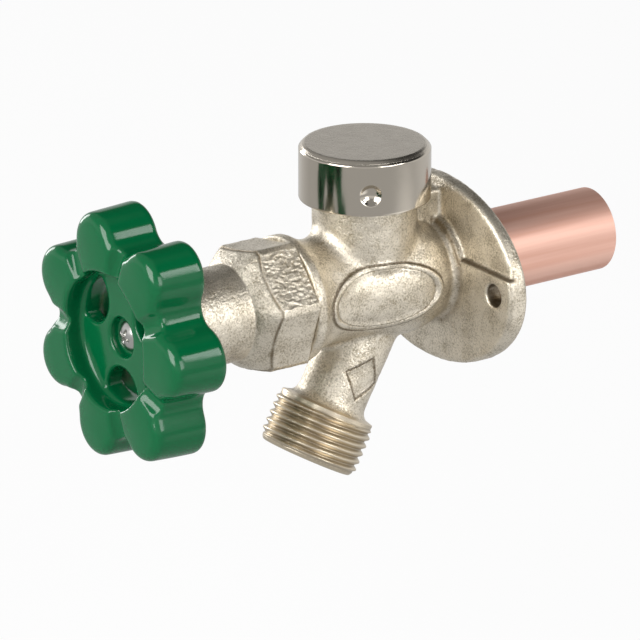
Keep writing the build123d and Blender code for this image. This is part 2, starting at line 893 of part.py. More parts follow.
# Brass end of the tube: it holds the cartridge and takes the house pipe
with BuildPart() as inlet_seat:
    disc(Plane.XZ, -seat_back_depth, -seat_front_depth, tube_bore_radius - slip_gap)
    disc(
        Plane.XZ,
        -seat_shoulder_depth,
        -seat_front_depth + overrun,
        shell_radius + slip_gap,
        Mode.SUBTRACT,
    )
    disc(Plane.XZ, -seat_back_depth, -seat_front_depth, seat_bore_radius, Mode.SUBTRACT)
    disc(
        Plane.XZ,
        -seat_back_depth - overrun,
        -pipe_shoulder_depth,
        pipe_socket_radius,
        Mode.SUBTRACT,
    )
save(inlet_seat.part, "inlet_seat")

# Float: water pressure lifts it against the vent body's lip
with BuildPart() as vent_float:
    disc(tower_plane, float_low, float_top, float_radius)
    with BuildSketch(tower_plane.offset(float_low)) as ribs:
        with PolarLocations(0, float_ribs):
            Rectangle(float_bore_radius, float_rib_width, align=(Align.MIN, Align.CENTER))
        Circle(float_bore_radius - run_gap, mode=Mode.INTERSECT)
        Circle(float_seal_radius + run_gap, mode=Mode.SUBTRACT)
    extrude(ribs.sketch, amount=float_rib_height)
    disc(tower_plane, float_top, seal_top, float_boss_radius)
    disc(tower_plane, seal_top, seal_top + float_head_height, float_head_radius)
save(vent_float.part, "vent_float")

with BuildPart() as float_seal:
    ring(tower_plane, float_top, seal_top, float_seal_radius, float_boss_radius)
save(float_seal.part, "float_seal")

# Vent body: screwed into the tower, with a slotted crown that the cap grips
with BuildPart() as vent_seat:
    shank_low = lip_low + vent_lip_height
    disc(tower_plane, shank_low, tower_top, vent_thread_radius - slip_gap)
    disc(tower_plane, lip_low, shank_low, vent_bore_radius + vent_lip_width)
    disc(tower_plane, tower_top, tower_top + vent_flange_thickness, vent_flange_radius)
    disc(tower_plane, tower_top + vent_flange_thickness, crown_low, vent_neck_radius)
    disc(tower_plane, crown_low, crown_top, vent_crown_radius)
    chamfer(vent_seat.faces().sort_by(Axis.Z)[-1].edges(), vent_crown_chamfer)
    disc(tower_plane, shank_low + vent_web_height, crown_top + overrun, vent_crown_bore, Mode.SUBTRACT)
    disc(tower_plane, lip_low - overrun, crown_top, vent_bore_radius, Mode.SUBTRACT)
    with BuildSketch(tower_plane.offset(crown_low)) as notches:
        with PolarLocations(0, vent_notches):
            Rectangle(vent_crown_radius + overrun, vent_notch_width, align=(Align.MIN, Align.CENTER))
    extrude(notches.sketch, amount=crown_top - crown_low + overrun, mode=Mode.SUBTRACT)
save(vent_seat.part, "vent_seat")

with BuildPart() as vent_seat_o_ring:
    with Locations(tower_plane.offset(tower_top - ring_seat_depth / 2)):
        Torus((ring_seat_radius + vent_thread_radius) / 2, vent_ring_radius)
save(vent_seat_o_ring.part, "vent_seat_o_ring")

# Pressed cap: three dimples snap under the crown of the vent body
dimple_reach = cap_radius + dimple_ball_radius - dimple_depth
dimple_places = []
for dimple in range(dimple_count):
    x, y = polar(dimple_reach, dimple_turn + dimple * 360 / dimple_count)
    dimple_places.append((x, y - tower_reach, dimple_height))

with BuildPart() as dimple_backs:
    with Locations(*dimple_places):
        Sphere(dimple_ball_radius + cap_wall)
    disc(tower_plane, cap_low, cap_bevel_height, cap_radius - cap_wall / 2, Mode.INTERSECT)

with BuildPart() as vent_cap:
    disc(tower_plane, cap_low, cap_top, cap_radius)
    chamfer(vent_cap.faces().sort_by(Axis.Z)[-1].edges(), cap_radius - cap_top_radius)
    fillet(vent_cap.faces().sort_by(Axis.Z)[-1].edges(), cap_edge_round)
    offset(amount=-cap_wall, openings=vent_cap.faces().sort_by(Axis.Z)[0])
    add(dimple_backs.part)
    with Locations(*dimple_places):
        Sphere(dimple_ball_radius, mode=Mode.SUBTRACT)
    dimple_rims = vent_cap.edges(Select.NEW)
    fillet(dimple_rims, dimple_rim_round)
save(vent_cap.part, "vent_cap")
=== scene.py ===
import math

import bmesh
import bpy
import numpy as np
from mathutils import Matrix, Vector


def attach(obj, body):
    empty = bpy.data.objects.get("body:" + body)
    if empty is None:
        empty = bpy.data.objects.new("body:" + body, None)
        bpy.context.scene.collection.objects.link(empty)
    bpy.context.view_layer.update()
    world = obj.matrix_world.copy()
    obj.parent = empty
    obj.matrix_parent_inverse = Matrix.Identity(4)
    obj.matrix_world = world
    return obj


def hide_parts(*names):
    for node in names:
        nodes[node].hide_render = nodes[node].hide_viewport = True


# Frost free sillcock: the looks of a nickel-plated wall tap with a green handle.
# Metres, +Z up, +Y into the wall, origin at the back of the wall flange on the tube's axis.

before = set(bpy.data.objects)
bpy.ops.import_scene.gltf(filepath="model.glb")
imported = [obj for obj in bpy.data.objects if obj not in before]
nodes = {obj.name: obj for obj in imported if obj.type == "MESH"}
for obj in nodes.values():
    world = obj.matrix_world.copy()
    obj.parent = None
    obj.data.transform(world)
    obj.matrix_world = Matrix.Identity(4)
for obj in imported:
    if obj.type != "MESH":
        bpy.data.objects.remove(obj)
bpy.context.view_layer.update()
mm = 0.001
print("frame loaded:", len(nodes), "nodes")


def srgb(hexColour):
    # Each channel c becomes c/12.92 below 0.04045 and ((c+0.055)/1.055)^2.4 above it.
    channels = [int(hexColour[i:i + 2], 16) / 255 for i in (1, 3, 5)]
    return [c / 12.92 if c <= 0.04045 else ((c + 0.055) / 1.055) ** 2.4 for c in channels] + [1.0]


def addNode(tree, kind, place, settings=None, inputs=None):
    # One node with its settings, and each input either a value or another node's socket.
    node = tree.nodes.new(kind)
    node.location = place
    for name, value in (settings or {}).items():
        setattr(node, name, value)
    for name, value in (inputs or {}).items():
        if isinstance(value, bpy.types.NodeSocket):
            tree.links.new(value, node.inputs[name])
        else:
            node.inputs[name].default_value = value
    return node


def newMaterial(name):
    # A material whose node tree starts empty.
    material = bpy.data.materials.new(name)
    material.use_nodes = True
    tree = material.node_tree
    tree.nodes.clear()
    return material, tree


def smoothStep(x, low, high):
    # 0 below low, 1 above high, and 3t^2 - 2t^3 between, with t the share of the way.
    t = np.clip((x - low) / (high - low), 0.0, 1.0)
    return t * t * (3 - 2 * t)


def latticeNoise(points, cell, seed):
    # Values hashed at the corners of a cubic lattice, blended by a smooth step along each axis.
    scaled = points / cell
    corner = np.floor(scaled).astype(np.int64)
    share = scaled - corner
    share = share * share * (3 - 2 * share)
    total = np.zeros(len(points))
    for dx in (0, 1):
        for dy in (0, 1):
            for dz in (0, 1):
                key = ((corner[:, 0] + dx) * 73856093) ^ ((corner[:, 1] + dy) * 19349663)
                key = (key ^ ((corner[:, 2] + dz) * 83492791) ^ (seed * 2654435)) & 0x7FFFFFFF
                key = (key ^ (key >> 13)) * 1274126177 & 0x7FFFFFFF
                value = ((key ^ (key >> 16)) & 0xFFFF) / 65535.0 - 0.5
                weight = np.where(dx, share[:, 0], 1 - share[:, 0])
                weight = weight * np.where(dy, share[:, 1], 1 - share[:, 1])
                total += value * weight * np.where(dz, share[:, 2], 1 - share[:, 2])
    return total * 2


def gridMesh(name, points):
    # A grid of rows by columns: each cell is one quad, and the last column meets the first.
    rows, columns = points.shape[:2]
    index = np.arange(rows * columns).reshape(rows, columns)
    index = np.concatenate([index, index[:, :1]], axis=1)
    quads = np.stack([index[:-1, :-1], index[:-1, 1:], index[1:, 1:], index[1:, :-1]], axis=-1)
    mesh = bpy.data.meshes.new(name)
    mesh.from_pydata(points.reshape(-1, 3).tolist(), [], quads.reshape(-1, 4).tolist())
    mesh.polygons.foreach_set("use_smooth", np.ones(len(mesh.polygons), bool))
    piece = bpy.data.objects.new(name, mesh)
    bpy.context.scene.collection.objects.link(piece)
    return piece


def cleanMesh(piece, sharpAngle=None):
    # Doubles are merged, which closes the poles and seams, and the faces then point outwards.
    # An edge bent by more than the sharp angle keeps its crease in the shading.
    work = bmesh.new()
    work.from_mesh(piece.data)
    bmesh.ops.remove_doubles(work, verts=work.verts, dist=1e-6)
    bmesh.ops.dissolve_degenerate(work, edges=work.edges, dist=1e-7)
    bmesh.ops.recalc_face_normals(work, faces=work.faces)
    if sharpAngle:
        for edge in work.edges:
            if len(edge.link_faces) == 2 and edge.calc_face_angle() > sharpAngle:
                edge.smooth = False
    work.to_mesh(piece.data)
    work.free()


def readPoints(piece):
    # The vertices' places as one array of rows x, y, z.
    points = np.empty(len(piece.data.vertices) * 3)
    piece.data.vertices.foreach_get("co", points)
    return points.reshape(-1, 3)


def writePoints(piece, points):
    # The same rows put back into the mesh.
    piece.data.vertices.foreach_set("co", np.ascontiguousarray(points, dtype=np.float64).ravel())
    piece.data.update()


def readNormals(piece):
    # The vertices' unit normals as rows x, y, z.
    normals = np.empty(len(piece.data.vertices) * 3)
    piece.data.vertices.foreach_get("normal", normals)
    return normals.reshape(-1, 3)


def castCopy(name, source, voxel, smoothing):
    # The solid's own surface, rebuilt on an even grid of voxels in mm and relaxed, so that grain
    # can be raised on it.
    piece = bpy.data.objects.new(name, nodes[source].data.copy())
    bpy.context.scene.collection.objects.link(piece)
    cleanMesh(piece)
    writePoints(piece, readPoints(piece) / mm)
    rebuild = piece.modifiers.new("rebuild", "REMESH")
    rebuild.mode = "VOXEL"
    rebuild.voxel_size = voxel
    rebuild.use_smooth_shade = True
    relax = piece.modifiers.new("relax", "SMOOTH")
    relax.factor = 0.5
    relax.iterations = smoothing
    bpy.context.view_layer.update()
    graph = bpy.context.evaluated_depsgraph_get()
    mesh = bpy.data.meshes.new_from_object(piece.evaluated_get(graph))
    piece.modifiers.clear()
    piece.data = mesh
    piece.data.name = name
    writePoints(piece, readPoints(piece) * mm)
    print(name, "faces", len(mesh.polygons))
    return piece


def markPaintedShade(piece, amount):
    # One number a vertex, 0 to 1, which both nickel materials read as painted shade.
    layer = piece.data.attributes.new("paintedShade", "FLOAT", "POINT")
    layer.data.foreach_set("value", np.ascontiguousarray(amount, dtype=np.float32))


def finishPiece(piece, material, body, replaced=None):
    # One material, the body the piece rides on, and the solid that it stands for.
    piece.data.materials.clear()
    piece.data.materials.append(material)
    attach(piece, body)
    if replaced:
        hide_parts(replaced)


def fillRamp(ramp, stops):
    # The ramp's first and last marks are moved, and the ones between are added.
    marks = ramp.color_ramp.elements
    marks[0].position, marks[1].position = stops[0][0], stops[-1][0]
    for position, _ in stops[1:-1]:
        marks.new(position)
    for mark, (_, tone) in zip(marks, stops):
        mark.color = srgb(tone) if isinstance(tone, str) else (tone, tone, tone, 1.0)


def makeCastNickel():
    # Nickel plate over a sand-cast brass skin: warm grey with grit that glints grain by grain,
    # a duller film in the pits, and brown painted shade in the screw holes, in the lines round the
    # raised oval and the sunk lozenge, and where the mesh marks it.
    settings = {
        "tone": "#EAE1D0", "pit": "#9C9079", "paintedShade": "#6A5A42", "grit": 0.5 * mm,
        "fine": 0.22 * mm, "broad": 5 * mm, "rough": 0.34, "relief": 1.2,
        "ovalCentre": -29.3 * mm, "ovalLength": 17.2 * mm, "ovalHeight": 8.8 * mm,
        "lozengeLength": 5.8 * mm, "lozengeWidth": 5.1 * mm, "lozengeAlong": 26.4 * mm,
        "spoutReach": 19.8 * mm, "spoutLean": math.radians(29.0), "screwSpacing": 57.2 * mm,
        "screwHole": 3.0 * mm, "lineDepth": 0.3 * mm, "gritDepth": 0.12 * mm,
        "fineDepth": 0.05 * mm, "breakupLeast": 0.6, "filmLeast": 0.84,
    }
    material, tree = newMaterial("castNickel")
    here = addNode(tree, "ShaderNodeTexCoord", (-1900, 0)).outputs["Object"]
    grit = addNode(tree, "ShaderNodeTexNoise", (-1300, 100), None, {
        "Vector": here, "Scale": 1 / settings["grit"], "Detail": 3.0, "Roughness": 0.65})
    fine = addNode(tree, "ShaderNodeTexNoise", (-1300, -200), None, {
        "Vector": here, "Scale": 1 / settings["fine"], "Detail": 2.0})
    broad = addNode(tree, "ShaderNodeTexNoise", (-1300, 400), None, {
        "Vector": here, "Scale": 1 / settings["broad"], "Detail": 3.0})
    # The oval: half the length of the place over its half axes is 0.5 on its edge.
    oval = addNode(tree, "ShaderNodeMapping", (-1700, -500), None, {
        "Vector": here, "Location": (0, -0.5 * settings["ovalCentre"] / settings["ovalLength"], 0),
        "Scale": (0, 0.5 / settings["ovalLength"], 0.5 / settings["ovalHeight"])})
    ovalEdge = addNode(tree, "ShaderNodeVectorMath", (-1500, -500), {"operation": "LENGTH"}, {
        0: oval.outputs["Vector"]})
    ovalLine = addNode(tree, "ShaderNodeValToRGB", (-1300, -500), None, {
        "Fac": ovalEdge.outputs["Value"]})
    fillRamp(ovalLine, [(0.0, 0.0), (0.425, 0.0), (0.436, 0.6), (0.447, 0.0), (0.494, 0.0),
                        (0.503, 1.0), (0.516, 1.0), (0.535, 0.0)])
    # The lozenge: in the spout's frame, half of across/width + along/length is 0.5 on its edge.
    tiltY = settings["spoutReach"] * math.cos(settings["spoutLean"])
    tiltZ = settings["spoutReach"] * math.sin(settings["spoutLean"]) + settings["lozengeAlong"]
    lozenge = addNode(tree, "ShaderNodeMapping", (-1900, -800), None, {
        "Vector": here, "Location": (0, tiltY, tiltZ), "Rotation": (settings["spoutLean"], 0, 0)})
    quarter = addNode(tree, "ShaderNodeVectorMath", (-1700, -800), {"operation": "ABSOLUTE"}, {
        0: lozenge.outputs["Vector"]})
    lozengeEdge = addNode(tree, "ShaderNodeVectorMath", (-1500, -800), {
        "operation": "DOT_PRODUCT"}, {
        0: quarter.outputs["Vector"],
        1: (0, 0.5 / settings["lozengeWidth"], 0.5 / settings["lozengeLength"])})
    lozengeLine = addNode(tree, "ShaderNodeValToRGB", (-1300, -800), None, {
        "Fac": lozengeEdge.outputs["Value"]})
    fillRamp(lozengeLine, [(0.0, 0.0), (0.44, 0.0), (0.49, 0.9), (0.52, 0.9), (0.57, 0.0)])
    # Painted shade: the lines round the oval and the lozenge, broken up by the grit, on this side
    # only.
    lines = addNode(tree, "ShaderNodeMath", (-1000, -600), {"operation": "MAXIMUM"}, {
        0: ovalLine.outputs["Color"], 1: lozengeLine.outputs["Color"]})
    parts = addNode(tree, "ShaderNodeSeparateXYZ", (-1300, -1000), None, {"Vector": here})
    thisSide = addNode(tree, "ShaderNodeMath", (-1000, -900), {"operation": "GREATER_THAN"}, {
        0: parts.outputs["X"], 1: 4 * mm})
    lineBreakup = addNode(tree, "ShaderNodeMapRange", (-1000, -1300), None, {
        "Value": grit.outputs["Fac"], "From Min": 0.3, "From Max": 0.7, "To Min": 1.0,
        "To Max": settings["breakupLeast"]})
    brokenShadeLines = addNode(tree, "ShaderNodeMath", (-900, -700), {"operation": "MULTIPLY"}, {
        0: lines.outputs[0], 1: lineBreakup.outputs["Result"]})
    onSide = addNode(tree, "ShaderNodeMath", (-800, -700), {"operation": "MULTIPLY"}, {
        0: brokenShadeLines.outputs[0], 1: thisSide.outputs[0]})
    # The screw holes: painted shade where the place, folded to one side, lies inside a hole's
    # radius.
    folded = addNode(tree, "ShaderNodeVectorMath", (-1700, -1200), {"operation": "ABSOLUTE"}, {
        0: here})
    centred = addNode(tree, "ShaderNodeMapping", (-1500, -1200), None, {
        "Vector": folded.outputs["Vector"], "Location": (-0.5 * settings["screwSpacing"], 0, 0),
        "Scale": (1, 0, 1)})
    away = addNode(tree, "ShaderNodeVectorMath", (-1300, -1200), {"operation": "LENGTH"}, {
        0: centred.outputs["Vector"]})
    hole = addNode(tree, "ShaderNodeMapRange", (-1000, -1100), None, {
        "Value": away.outputs["Value"], "From Min": settings["screwHole"] - 0.1 * mm,
        "From Max": settings["screwHole"] + 0.4 * mm, "To Min": 1.0, "To Max": 0.0})
    lined = addNode(tree, "ShaderNodeMath", (-800, -900), {"operation": "MAXIMUM"}, {
        0: onSide.outputs[0], 1: hole.outputs["Result"]})
    # Painted shade marked on the mesh joins the lines and the holes, and the brown is mixed in by
    # it.
    shadeMark = addNode(tree, "ShaderNodeAttribute", (-800, -1100), {"attribute_name": "paintedShade"})
    groove = addNode(tree, "ShaderNodeMath", (-600, -700), {"operation": "MAXIMUM"}, {
        0: lined.outputs[0], 1: shadeMark.outputs["Fac"]})
    shade = addNode(tree, "ShaderNodeMath", (-1000, 250), {"operation": "MULTIPLY_ADD"}, {
        0: broad.outputs["Fac"], 1: 0.45, 2: grit.outputs["Fac"]})
    tint = addNode(tree, "ShaderNodeValToRGB", (-800, 250), None, {"Fac": shade.outputs[0]})
    fillRamp(tint, [(0.5, settings["pit"]), (0.8, settings["tone"])])
    shadedTone = addNode(tree, "ShaderNodeMix", (-450, 250), {"data_type": "RGBA"}, {
        0: groove.outputs[0], 6: tint.outputs["Color"], 7: srgb(settings["paintedShade"])})
    rough = addNode(tree, "ShaderNodeMapRange", (-800, 0), None, {
        "Value": grit.outputs["Fac"], "From Min": 0.3, "From Max": 0.7,
        "To Min": settings["rough"] + 0.14, "To Max": settings["rough"] - 0.08})
    film = addNode(tree, "ShaderNodeMapRange", (-800, -150), None, {
        "Value": grit.outputs["Fac"], "From Min": 0.35, "From Max": 0.65,
        "To Min": settings["filmLeast"], "To Max": 1.0})
    bumpGroove = addNode(tree, "ShaderNodeBump", (-600, -500), {"invert": True}, {
        "Strength": 0.8, "Distance": settings["lineDepth"], "Height": onSide.outputs[0]})
    bumpGrit = addNode(tree, "ShaderNodeBump", (-450, -200), None, {
        "Strength": settings["relief"], "Distance": settings["gritDepth"],
        "Height": grit.outputs["Fac"], "Normal": bumpGroove.outputs["Normal"]})
    bumpFine = addNode(tree, "ShaderNodeBump", (-250, -200), None, {
        "Strength": settings["relief"] * 0.5, "Distance": settings["fineDepth"],
        "Height": fine.outputs["Fac"], "Normal": bumpGrit.outputs["Normal"]})
    shader = addNode(tree, "ShaderNodeBsdfPrincipled", (0, 0), None, {
        "Base Color": shadedTone.outputs[2], "Metallic": film.outputs["Result"],
        "Roughness": rough.outputs["Result"], "Normal": bumpFine.outputs["Normal"]})
    addNode(tree, "ShaderNodeOutputMaterial", (300, 0), None, {"Surface": shader.outputs["BSDF"]})
    return material


def makeTurnedNickel():
    # Nickel plate over a turned thread: smoother than the casting, with a dusting of fine grit
    # and brown painted shade between the crests.
    settings = {"tone": "#DCCFB8", "paintedShade": "#5E4C33", "rough": 0.32, "grit": 0.35 * mm,
                "patchLeast": 0.6, "gritDepth": 0.05 * mm, "relief": 0.08}
    material, tree = newMaterial("turnedNickel")
    here = addNode(tree, "ShaderNodeTexCoord", (-800, 0)).outputs["Object"]
    grit = addNode(tree, "ShaderNodeTexNoise", (-600, 0), None, {
        "Vector": here, "Scale": 1 / settings["grit"], "Detail": 3.0})
    bump = addNode(tree, "ShaderNodeBump", (-300, -200), None, {
        "Strength": settings["relief"], "Distance": settings["gritDepth"],
        "Height": grit.outputs["Fac"]})
    rough = addNode(tree, "ShaderNodeMapRange", (-300, 0), None, {
        "Value": grit.outputs["Fac"], "To Min": settings["rough"] - 0.05,
        "To Max": settings["rough"] + 0.08})
    # Painted shade marked on the mesh, made patchy by the grit.
    shadeMark = addNode(tree, "ShaderNodeAttribute", (-600, 300), {"attribute_name": "paintedShade"})
    patchy = addNode(tree, "ShaderNodeMapRange", (-400, 450), None, {
        "Value": grit.outputs["Fac"], "From Min": 0.3, "From Max": 0.7,
        "To Min": settings["patchLeast"], "To Max": 1.0})
    share = addNode(tree, "ShaderNodeMath", (-300, 300), {"operation": "MULTIPLY"}, {
        0: shadeMark.outputs["Fac"], 1: patchy.outputs["Result"]})
    shadedTone = addNode(tree, "ShaderNodeMix", (-150, 300), {"data_type": "RGBA"}, {
        0: share.outputs[0], 6: srgb(settings["tone"]), 7: srgb(settings["paintedShade"])})
    shader = addNode(tree, "ShaderNodeBsdfPrincipled", (0, 0), None, {
        "Base Color": shadedTone.outputs[2], "Metallic": 1.0,
        "Roughness": rough.outputs["Result"], "Normal": bump.outputs["Normal"]})
    addNode(tree, "ShaderNodeOutputMaterial", (300, 0), None, {"Surface": shader.outputs["BSDF"]})
    return material


def makeGreenEnamel():
    # Baked gloss enamel on a die casting: deep green under a clear, slightly wavy skin.
    settings = {"tone": "#005831", "rough": 0.13, "wave": 6 * mm, "waveDepth": 0.1 * mm,
                "relief": 0.2}
    material, tree = newMaterial("greenEnamel")
    here = addNode(tree, "ShaderNodeTexCoord", (-800, 0)).outputs["Object"]
    wave = addNode(tree, "ShaderNodeTexNoise", (-600, 0), None, {
        "Vector": here, "Scale": 1 / settings["wave"], "Detail": 1.0})
    bump = addNode(tree, "ShaderNodeBump", (-300, -200), None, {
        "Strength": settings["relief"], "Distance": settings["waveDepth"],
        "Height": wave.outputs["Fac"]})
    shader = addNode(tree, "ShaderNodeBsdfPrincipled", (0, 0), None, {
        "Base Color": srgb(settings["tone"]), "Roughness": settings["rough"], "IOR": 1.45,
        "Normal": bump.outputs["Normal"]})
    addNode(tree, "ShaderNodeOutputMaterial", (300, 0), None, {"Surface": shader.outputs["BSDF"]})
    return material


def makeChromePlate():
    # Bright chrome over a pressed cap: a mirror with a faint cloudiness, and a duller top that
    # the press left slightly dappled.
    settings = {"tone": "#CBC3B6", "rough": 0.12, "cloud": 3 * mm, "dapple": 1.3 * mm,
                "topFrom": 37.3 * mm, "topDulls": 0.14, "dappleDepth": 0.06 * mm, "relief": 0.5}
    material, tree = newMaterial("chromePlate")
    here = addNode(tree, "ShaderNodeTexCoord", (-800, 0)).outputs["Object"]
    cloud = addNode(tree, "ShaderNodeTexNoise", (-600, 0), None, {
        "Vector": here, "Scale": 1 / settings["cloud"], "Detail": 4.0})
    rough = addNode(tree, "ShaderNodeMapRange", (-300, 0), None, {
        "Value": cloud.outputs["Fac"], "To Min": settings["rough"] - 0.04,
        "To Max": settings["rough"] + 0.06})
    parts = addNode(tree, "ShaderNodeSeparateXYZ", (-600, 300), None, {"Vector": here})
    onTop = addNode(tree, "ShaderNodeMath", (-400, 300), {"operation": "GREATER_THAN"}, {
        0: parts.outputs["Z"], 1: settings["topFrom"]})
    dull = addNode(tree, "ShaderNodeMath", (-150, 100), {"operation": "MULTIPLY_ADD"}, {
        0: onTop.outputs[0], 1: settings["topDulls"], 2: rough.outputs["Result"]})
    dapple = addNode(tree, "ShaderNodeTexNoise", (-600, -300), None, {
        "Vector": here, "Scale": 1 / settings["dapple"], "Detail": 4.0, "Roughness": 0.65})
    pressed = addNode(tree, "ShaderNodeMath", (-400, -300), {"operation": "MULTIPLY"}, {
        0: dapple.outputs["Fac"], 1: onTop.outputs[0]})
    bump = addNode(tree, "ShaderNodeBump", (-200, -300), None, {
        "Strength": settings["relief"], "Distance": settings["dappleDepth"],
        "Height": pressed.outputs[0]})
    shader = addNode(tree, "ShaderNodeBsdfPrincipled", (0, 0), None, {
        "Base Color": srgb(settings["tone"]), "Metallic": 1.0,
        "Roughness": dull.outputs[0], "Normal": bump.outputs["Normal"]})
    addNode(tree, "ShaderNodeOutputMaterial", (300, 0), None, {"Surface": shader.outputs["BSDF"]})
    return material


def makeDrawnCopper():
    # Copper tube as drawn through its die: pale pink, long soft streaks and a dull sheen.
    settings = {"tone": "#ECC0AF", "dull": "#DEA995", "rough": 0.48, "streak": 0.5 * mm,
                "cloud": 3 * mm, "stretch": 0.03, "streakDepth": 0.03 * mm, "relief": 0.12}
    material, tree = newMaterial("drawnCopper")
    here = addNode(tree, "ShaderNodeTexCoord", (-1000, 0)).outputs["Object"]
    stretch = addNode(tree, "ShaderNodeMapping", (-800, 0), None, {
        "Vector": here, "Scale": (1.0, settings["stretch"], 1.0)})
    streak = addNode(tree, "ShaderNodeTexNoise", (-600, 0), None, {
        "Vector": stretch.outputs["Vector"], "Scale": 1 / settings["streak"], "Detail": 3.0})
    cloud = addNode(tree, "ShaderNodeTexNoise", (-600, -300), None, {
        "Vector": stretch.outputs["Vector"], "Scale": 1 / settings["cloud"], "Detail": 3.0})
    tint = addNode(tree, "ShaderNodeValToRGB", (-300, 200), None, {"Fac": cloud.outputs["Fac"]})
    fillRamp(tint, [(0.35, settings["dull"]), (0.65, settings["tone"])])
    bump = addNode(tree, "ShaderNodeBump", (-300, -200), None, {
        "Strength": settings["relief"], "Distance": settings["streakDepth"],
        "Height": streak.outputs["Fac"]})
    shader = addNode(tree, "ShaderNodeBsdfPrincipled", (0, 0), None, {
        "Base Color": tint.outputs["Color"], "Metallic": 0.7, "Roughness": settings["rough"],
        "Normal": bump.outputs["Normal"]})
    addNode(tree, "ShaderNodeOutputMaterial", (300, 0), None, {"Surface": shader.outputs["BSDF"]})
    return material


def makePlain(name, tone, metallic, rough, grain, relief):
    # Inner pieces: one tone, with a fine grain in the bump and in the roughness.
    material, tree = newMaterial(name)
    place = addNode(tree, "ShaderNodeTexCoord", (-800, 0))
    noise = addNode(tree, "ShaderNodeTexNoise", (-600, 0), None, {
        "Vector": place.outputs["Object"], "Scale": 1 / grain, "Detail": 3.0})
    bump = addNode(tree, "ShaderNodeBump", (-300, -200), None, {
        "Strength": relief, "Distance": 0.05 * mm, "Height": noise.outputs["Fac"]})
    spread = addNode(tree, "ShaderNodeMapRange", (-300, 0), None, {
        "Value": noise.outputs["Fac"], "To Min": rough - 0.06, "To Max": rough + 0.08})
    shader = addNode(tree, "ShaderNodeBsdfPrincipled", (0, 0), None, {
        "Base Color": srgb(tone), "Metallic": metallic, "Roughness": spread.outputs["Result"],
        "Normal": bump.outputs["Normal"]})
    addNode(tree, "ShaderNodeOutputMaterial", (300, 0), None, {"Surface": shader.outputs["BSDF"]})
    return material


castNickel = makeCastNickel()
turnedNickel = makeTurnedNickel()
greenEnamel = makeGreenEnamel()
chromePlate = makeChromePlate()
drawnCopper = makeDrawnCopper()
turnedBrass = makePlain("turnedBrass", "#C9A864", 1.0, 0.28, 0.5 * mm, 0.15)
stainlessSteel = makePlain("stainlessSteel", "#C9C8C4", 1.0, 0.22, 0.4 * mm, 0.1)
nitrileRubber = makePlain("nitrileRubber", "#161616", 0.0, 0.55, 0.6 * mm, 0.2)
aluminaCeramic = makePlain("aluminaCeramic", "#EDEAE2", 0.0, 0.18, 0.8 * mm, 0.05)
acetalPlastic = makePlain("acetalPlastic", "#D9D6CC", 0.0, 0.4, 0.7 * mm, 0.1)
print("materials made")

# Inner pieces keep the shapes of their solids and only get a material.
innerFinish = {
    "bonnet_seal": nitrileRubber, "thrust_washer": acetalPlastic, "stem": turnedBrass,
    "stem_o_rings": nitrileRubber, "operating_rod": turnedBrass, "rod_pin": stainlessSteel,
    "disc_driver": turnedBrass, "cartridge_shell": acetalPlastic, "moving_disc": aluminaCeramic,
    "fixed_disc": aluminaCeramic, "cartridge_seal": nitrileRubber, "inlet_seat": turnedBrass,
    "vent_float": acetalPlastic, "float_seal": nitrileRubber, "vent_seat": turnedBrass,
    "vent_seat_o_ring": nitrileRubber,
}
for nodeName, material in innerFinish.items():
    nodes[nodeName].data.materials.clear()
    nodes[nodeName].data.materials.append(material)


casting = {
    "voxel": 0.53, "smoothing": 3,
    "spoutReach": 19.8 * mm, "spoutLean": math.radians(29.0), "spoutEnd": 51.3 * mm,
    "threadStart": 37.6 * mm, "threadRoot": 12.0 * mm, "mouth": 8.9 * mm, "mouthDepth": 9.0 * mm,
    "waveCell": 2.6 * mm, "waveHeight": 0.08 * mm, "grainCell": 1.0 * mm, "grainHeight": 0.06 * mm,
    "stepHeight": 5.7 * mm, "stepHalf": 0.55 * mm, "plateFront": -5.6 * mm, "root": 14.2 * mm,
    "rootHalf": 0.9 * mm, "ovalCentre": -29.3 * mm, "ovalLength": 17.2 * mm,
    "ovalHeight": 8.8 * mm, "ovalGroove": 0.88, "ovalGrooveHalf": 0.03,
    "ovalGrooveDepth": 0.3 * mm, "ovalSide": 14 * mm, "threadReach": 16 * mm,
    "threadSplit": 10.6 * mm, "throat": 7 * mm, "bore": 12.4 * mm, "boreEnd": -60 * mm,
    "backFrom": -0.6 * mm, "plateBack": -3 * mm, "stepShade": 0.85,
}
spoutDown = np.array([0.0, -math.sin(casting["spoutLean"]), -math.cos(casting["spoutLean"])])
spoutFrom = np.array([0.0, -casting["spoutReach"], 0.0])
spoutSide = np.array([1.0, 0.0, 0.0])
spoutBack = np.cross(spoutDown, spoutSide)


